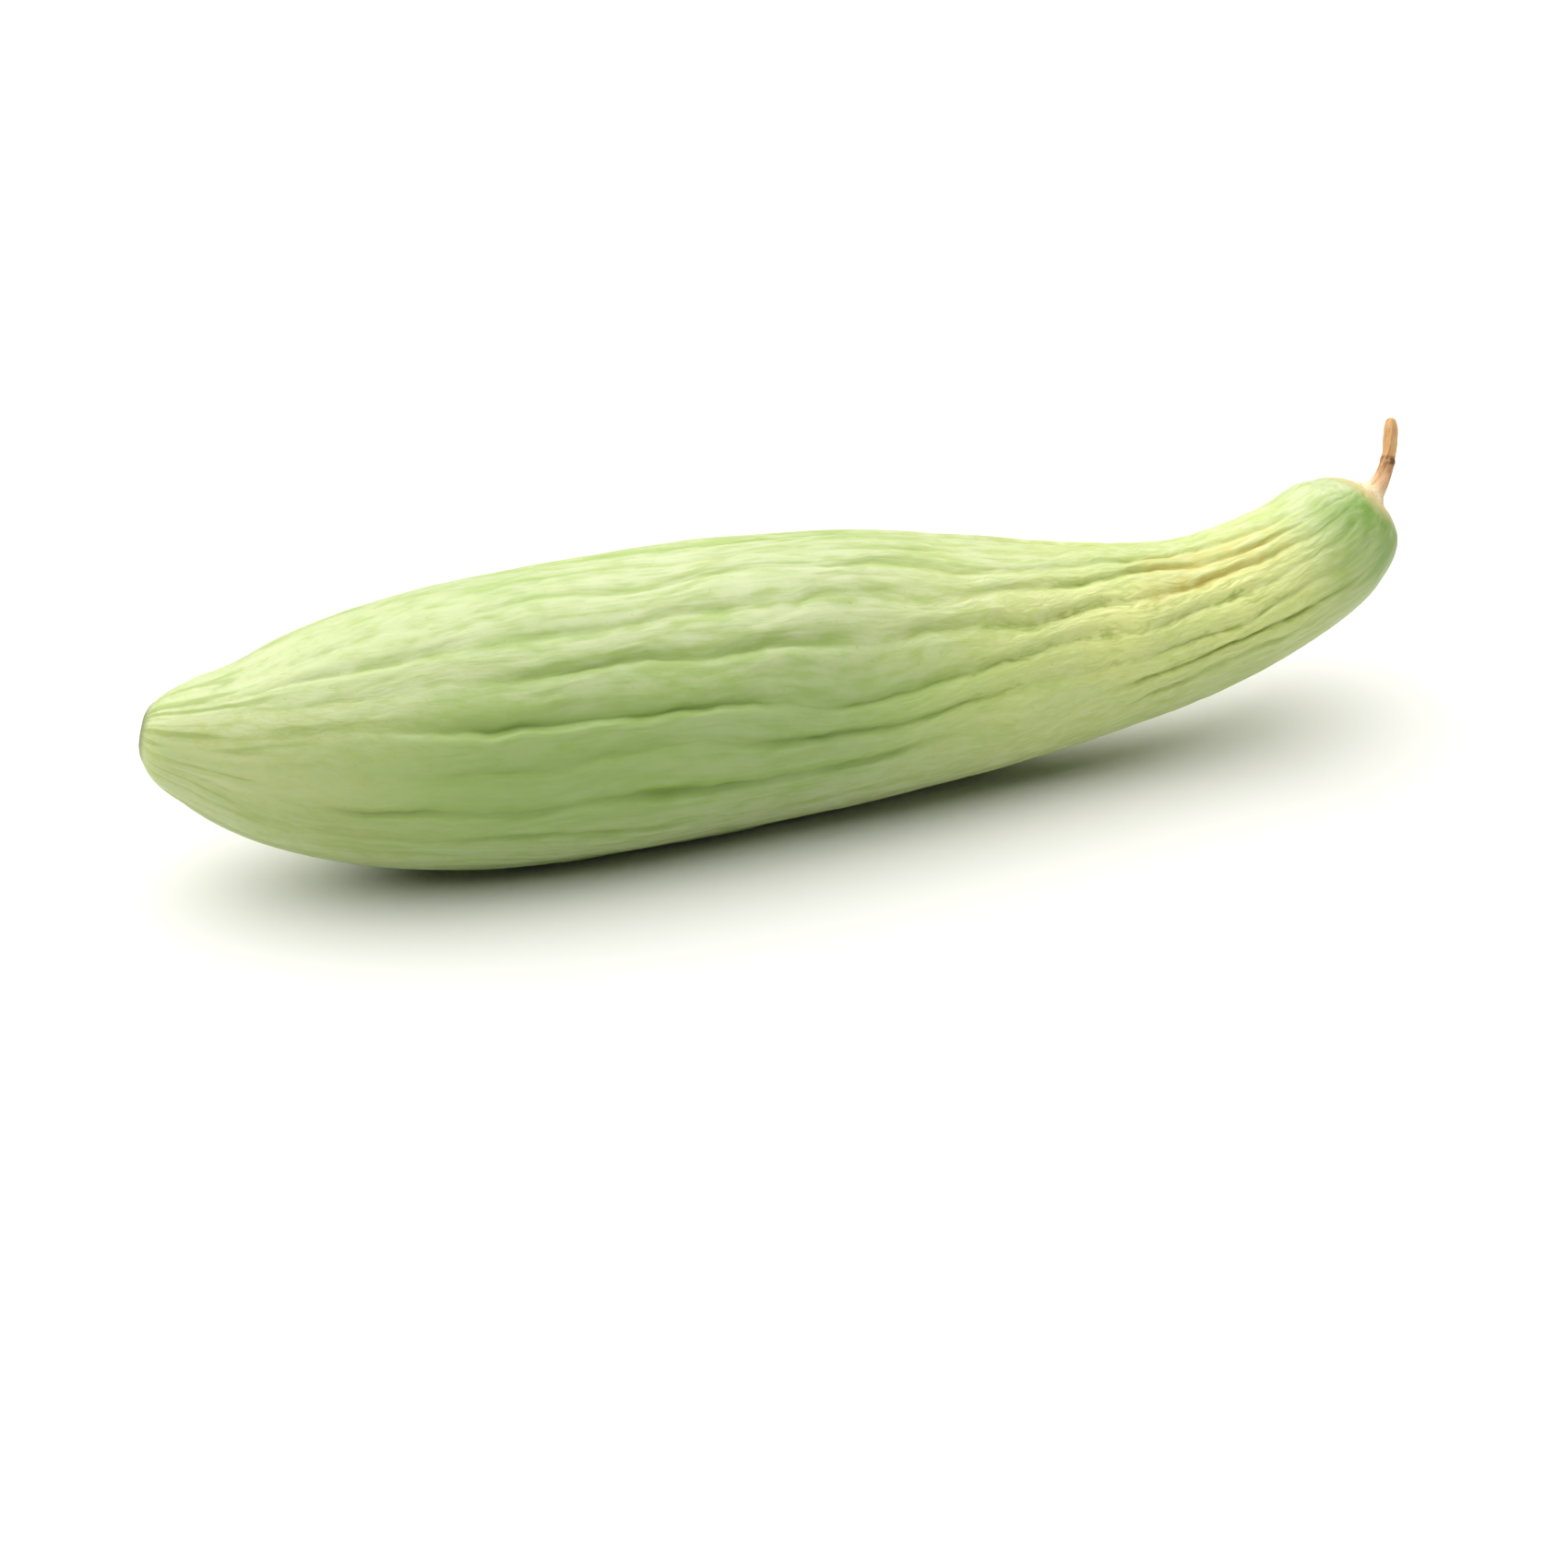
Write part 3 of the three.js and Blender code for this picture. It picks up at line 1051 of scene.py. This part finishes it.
    def relief(self, p: SkinPlace, grooves: Grooves, wrinkles: Wrinkles) -> Field:
        """Adds up how far the skin lies below its full radius.

        Args:
            p: What the formulas read.
            grooves: The furrows and creases.
            wrinkles: The fine marks.

        Returns:
            The depth, in millimetres.
        """
        turn, s = p.made.turn, p.s
        marks = wrinkles.creased * 1.3 + wrinkles.folded * 1.4 + wrinkles.between * 2.1 + wrinkles.lump * 0.3
        slow = (turn * 4.0 + s / 118 + 0.3).wave() + (turn * -3.0 + s / 64 + 0.1).wave() * 0.8
        rest = marks * p.made.input("Wrinkle") + slow * p.made.input("Swell") * 0.5
        return grooves.furrows + grooves.creases - grooves.swollen + rest * Stretch.WHOLE.on(s)

    def rays(self, p: SkinPlace, side_on: Field) -> Field:
        """Draws the streaks that run out from the blossom scar, above 0 where pale, with painted shade under
        the blossom end below 0.

        Args:
            p: What the formulas read.
            side_on: Cosine of the angle from the top.

        Returns:
            The streaks' strength, from -1 to 1.
        """
        spread = p.made.laid_out(p.s, 14.0)
        thin = Pattern.THIN_RAY.on(spread).math("ABSOLUTE").slope(0.11, 1.0)
        ray = Pattern.RAY.on(spread) * Stretch.RAYS.on(p.s) - thin * Stretch.THIN_RAYS.on(p.s) * 0.5
        # Painted shade: darker on the underside of the blossom end.
        return ray - side_on.ease(0.25, -0.4) * Stretch.DARK_BELOW.on(p.s) * 0.19

    def marks(self, p: SkinPlace, angle: Field, grooves: Grooves, wrinkles: Wrinkles) -> dict[str, Field]:
        """Works out what the finish reads at each vertex.

        Args:
            p: What the formulas read.
            angle: Turns round the fruit, from the top.
            grooves: The furrows and creases.
            wrinkles: The fine marks.

        Returns:
            The values by name.
        """
        s, rib, side_on = p.s, p.rib, angle.cos_turn()
        creased, folded, between = wrinkles.creased, wrinkles.folded, wrinkles.between
        shaded = (grooves.furrows.ease(0.05, 0.9) * 0.45 + grooves.creases * 0.5) * (p.neck * -0.15 + 1.0)
        tan = Stretch.TAN.on(s) * rib.window(18.3, 1.0, 21.6, 1.0)
        yellow = side_on.ease(-0.7, 0.3, 0.4, 1.0) * side_on.ease(0.7, 0.98, 1.0, 0.4)
        tip_tone_and_painted_light = side_on.ease(0.95, 0.3, 0.4, 1.0) * side_on.ease(-0.8, -0.1, 0.45, 1.0)
        below = side_on.ease(0.85, 0.05) * side_on.ease(-0.9, -0.2, 0.2, 1.0)
        return {
            "skin": p.skin,
            # Painted shade: how dark the paint goes, by the depth of the furrows, creases and wrinkles.
            "crease": shaded + creased * 0.22 + folded * 0.22 + between * 0.15,
            "tan": tan * (folded * 0.4 + between * 0.25 + grooves.creases * 0.6 + 0.03),
            "neck": Stretch.YELLOW.on(s) * yellow,
            "fresh": s.ease(286.0, 315.0) * (rib.window(12.0, 4.5, 21.0, 2.5) * 0.8 + 0.1),
            "ray": self.rays(p, side_on),
            # Partly the paler blossom end, partly painted light that lightens its sides.
            "tip": s.ease(4.0, 95.0, 0.46, 0.0) * tip_tone_and_painted_light,
            "scar": p.full.ease(4.8, 8.6, 1.0, 0.0) * s.ease(1.4, 5.0, 1.0, 0.0),
            "dry": (s + p.uneven * 2.0).ease(315.4, 319.7),
            # Painted shade: darker on the sides, less right underneath, weaker at the tip and in the neck,
            # and a little all round the blossom half.
            "low": below * s.ease(8.0, 80.0, 0.3, 0.66) * s.ease(140.0, 230.0, 1.0, 0.2)
            + s.ease(60.0, 130.0, 0.2, 0.0),
        }

    def rested(self, made: Sampler, point: Field) -> Field:
        """Flattens the belly softly where it would reach below the surface.

        Args:
            made: The first part of the tree.
            point: The vertex's place, in metres.

        Returns:
            The place after resting.
        """
        split = add_node(made.tree, "ShaderNodeSeparateXYZ", {0: point})
        x, y, z = (Field(made.tree, socket) for socket in split.outputs)
        parts = {"X": x, "Y": y, "Z": z.math("SMOOTH_MAX", 0.02 * MM, 0.4 * MM)}
        return Field(made.tree, add_node(made.tree, "ShaderNodeCombineXYZ", parts).outputs[0])

    def tree(self) -> Sampler:
        """Builds the tree that raises the ribs and their wrinkles on the rings.

        Returns:
            The closed tree.
        """
        counts = {"Columns": self.ribs * self.per_rib, "Rows": self.rows}
        sizes = {"Ribs": float(self.ribs), "Swell": self.swell, "Wrinkle": self.wrinkle, "Seed": self.seed}
        made = Sampler("furrowed_fruit", counts, sizes)
        s, full = made.at("along", made.row), made.at("radius", made.row)
        skin = made.laid_out(s, full)
        seeded = made.seeded(skin)
        rib = made.turn * made.input("Ribs")
        p = SkinPlace(made, s, full, rib, skin, seeded, Stretch.NECK.on(s), Pattern.UNEVEN.on(seeded))
        angle = self.angle(p)
        grooves = self.grooves(p)
        wrinkles = self.wrinkles(p, grooves.across)
        body = full.ease(3.9, 4.6)  # the scar and the seat stay plain
        point = made.ring_point(angle, full - self.relief(p, grooves, wrinkles) * body)
        made.close(self.rested(made, point), self.marks(p, angle, grooves, wrinkles))
        return made

    def build(self) -> bpy.types.Object:
        """Makes the fruit and dresses it.

        Returns:
            The finished piece.
        """
        rings = self.rings()
        s = rings.share * rings.length
        turned = spline(list(self.twist), False)
        twist = np.interp(s, turned[:, 0], turned[:, 1])
        extra = {**self.depths(s), "twist": np.tile(twist, self.ribs)}
        points = rings.mesh("fruit_rings", self.ribs, extra)
        piece = grow("fruit_skin", points, self.tree(), SkinFinish().material())
        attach(piece, "root")
        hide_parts("fruit")
        return piece


@dataclass
class Stem:
    """The dried stem, from its flared corky foot through a node to its blunt tip.

    Attributes:
        columns: Columns of the grid.
        rows: Rows of the grid.
        angles: Number of blunt angles round the shaft.
        ridge: Height of those angles, in millimetres.
        seed: Seed of all patterns in the shape.
        line: The middle line.
        outline: Distance up the stem and radius there, in millimetres.
    """

    columns: int = 90
    rows: int = 150
    angles: float = 5.0
    ridge: float = 0.16
    seed: float = 9.0
    line: MiddleLine = MiddleLine(
        (
            (152.61, 8.85, 52.95), (154.6, 9.37, 54.5), (156.9, 9.6, 57.5), (159.0, 10.5, 62.3),
            (159.9, 11.8, 67.3), (160.4, 13.1, 72.0),
        )
    )
    outline: tuple[tuple[float, float], ...] = (
        (0, 5.2), (0.6, 5.3), (1.4, 4.3), (2.8, 3.1), (4.8, 2.35), (7.5, 1.95),
        (9.6, 1.75), (10.8, 1.9), (12.2, 1.6), (16.0, 1.75), (19.0, 1.6), (20.8, 1.15),
        (21.4, 0.5),
    )

    def rings(self) -> Rings:
        """Places the rings, with a flat foot and a domed tip.

        Returns:
            The rings.
        """
        length = self.outline[-1][0]
        base = np.linspace(0, 4.8, 8)
        tip = np.linspace(0.4, 0, 4)
        share = crowded_ends(self.rows - len(base) - len(tip))
        curve = spline(list(self.outline), False)
        radius = np.interp(share * length, curve[:, 0], curve[:, 1])
        return Rings(
            self.line,
            np.concatenate([0 * base, share, 0 * tip + 1]),
            np.concatenate([base, radius, tip]),
            np.concatenate([0 * base, 0 * share, 0.12 - 0.3 * tip**2]),
            length,
        )

    def tree(self) -> Sampler:
        """Builds the tree that raises the stem's angles and fibres.

        Returns:
            The closed tree.
        """
        counts = {"Columns": self.columns, "Rows": self.rows}
        made = Sampler("dried_stem", counts, {"Angles": self.angles, "Ridge": self.ridge, "Seed": self.seed})
        up, full = made.at("along", made.row), made.at("radius", made.row)
        shaft, foot = up.ease(2.0, 6.5), up.ease(0.2, 3.2, 1.0, 0.0)
        skin = made.laid_out(up, full)
        seeded = made.seeded(skin)
        fibre, knob = Pattern.STEM_FIBRE.on(seeded), Pattern.STEM_KNOB.on(seeded)
        angles = (made.turn * made.input("Angles")).cos_turn() * made.input("Ridge") * (shaft * 0.7 + 0.3)
        lobes = (made.turn * 9.0 + 0.1).wave()
        rough = fibre * 0.13 + knob * 0.1 + knob * foot * 0.3 + lobes * foot * 0.14
        point = made.ring_point(made.turn, full + (angles + rough) * full.ease(0.0, 1.2))
        made.close(point, {"skin": skin, "up": up})
        return made

    def build(self) -> bpy.types.Object:
        """Makes the stem and dresses it.

        Returns:
            The finished piece.
        """
        piece = grow("stem_dry", self.rings().mesh("stem_rings"), self.tree(), StemFinish().material())
        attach(piece, "root")
        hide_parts("stem")
        return piece


# The studio


class Lamp(Enum):
    """The studio's soft lights: where each shines from, its width in degrees, strength, colour."""

    OVERHEAD = ((-0.24, 0.235, 1.0), 112.0, 5.18, "#fffefb")
    FRONT = ((-0.7, -1.0, 0.8), 70.0, 0.08, "#ffffff")


@dataclass
class Studio:
    """White paper floor, soft lights, and the camera at the photograph's angle.

    Attributes:
        target: Point that the camera looks at, in millimetres.
        azimuth: Camera's turn about the vertical, in degrees.
        elevation: Camera's height angle, in degrees.
        distance: Camera's distance from the target, in millimetres.
        focal: Focal length on a 36 mm wide sensor, in millimetres.
        ambient: Strength of the light that comes evenly from all sides.
        reach: Half the width of the paper, in metres.
        gap: How far the paper lies under the fruit, in millimetres, so that the two never flicker.
    """

    target: tuple[float, float, float] = (-28.43, -57.23, 35.0)
    azimuth: float = -20.785
    elevation: float = 26.0
    distance: float = 985.0
    focal: float = 100.0
    ambient: float = 0.04
    reach: float = 4.0
    gap: float = 0.2

    def camera(self) -> None:
        """Places the camera."""
        turn, lift = math.radians(self.azimuth), math.radians(self.elevation)
        back = Vector((math.sin(turn) * math.cos(lift), -math.cos(turn) * math.cos(lift), math.sin(lift)))
        data = bpy.data.cameras.new("camera")
        data.lens = self.focal
        data.sensor_width = 36.0
        data.clip_start = 0.02
        made = bpy.data.objects.new("camera", data)
        made.location = (Vector(self.target) + back * self.distance) * MM
        made.rotation_euler = back.to_track_quat("Z", "Y").to_euler()
        bpy.context.scene.collection.objects.link(made)
        bpy.context.scene.camera = made

    def floor(self) -> None:
        """Lays the paper."""
        mesh = bpy.data.meshes.new("floor")
        signs = ((-1, -1), (1, -1), (1, 1), (-1, 1))
        corners = [(x * self.reach, y * self.reach, -self.gap * MM) for x, y in signs]
        mesh.from_pydata(corners, [], [(0, 1, 2, 3)])
        mesh.materials.append(FloorFinish().material())
        made = bpy.data.objects.new("floor", mesh)
        bpy.context.scene.collection.objects.link(made)

    def lights(self) -> None:
        """Hangs the soft lights and sets the room's own light."""
        for lamp in Lamp:
            direction, width, strength, color = lamp.value
            data = bpy.data.lights.new(lamp.name.lower(), "SUN")
            data.angle = math.radians(width)
            data.energy = strength
            data.color = linear(color)[:3]
            made = bpy.data.objects.new(lamp.name.lower(), data)
            made.location = direction
            made.rotation_euler = Vector(direction).to_track_quat("Z", "Y").to_euler()
            bpy.context.scene.collection.objects.link(made)
        world = bpy.data.worlds.new("room")
        world.use_nodes = True
        world.node_tree.nodes.clear()
        glow = {"Color": (1.0, 1.0, 1.0, 1.0), "Strength": self.ambient}
        shader = add_node(world.node_tree, "ShaderNodeBackground", glow)
        add_node(world.node_tree, "ShaderNodeOutputWorld", {"Surface": shader.outputs[0]})
        bpy.context.scene.world = world
        bpy.context.scene.view_settings.view_transform = "Standard"


def main() -> None:
    """Builds the studio and the pieces in order."""
    logging.basicConfig(level=logging.INFO, format="%(name)s: %(message)s")
    studio = Studio()
    studio.camera()
    studio.floor()
    studio.lights()
    for maker in (Fruit(), Stem()):
        piece = maker.build()
        LOG.info("%s: %d faces", piece.name, len(piece.data.polygons))


if __name__ == "__main__":
    main()
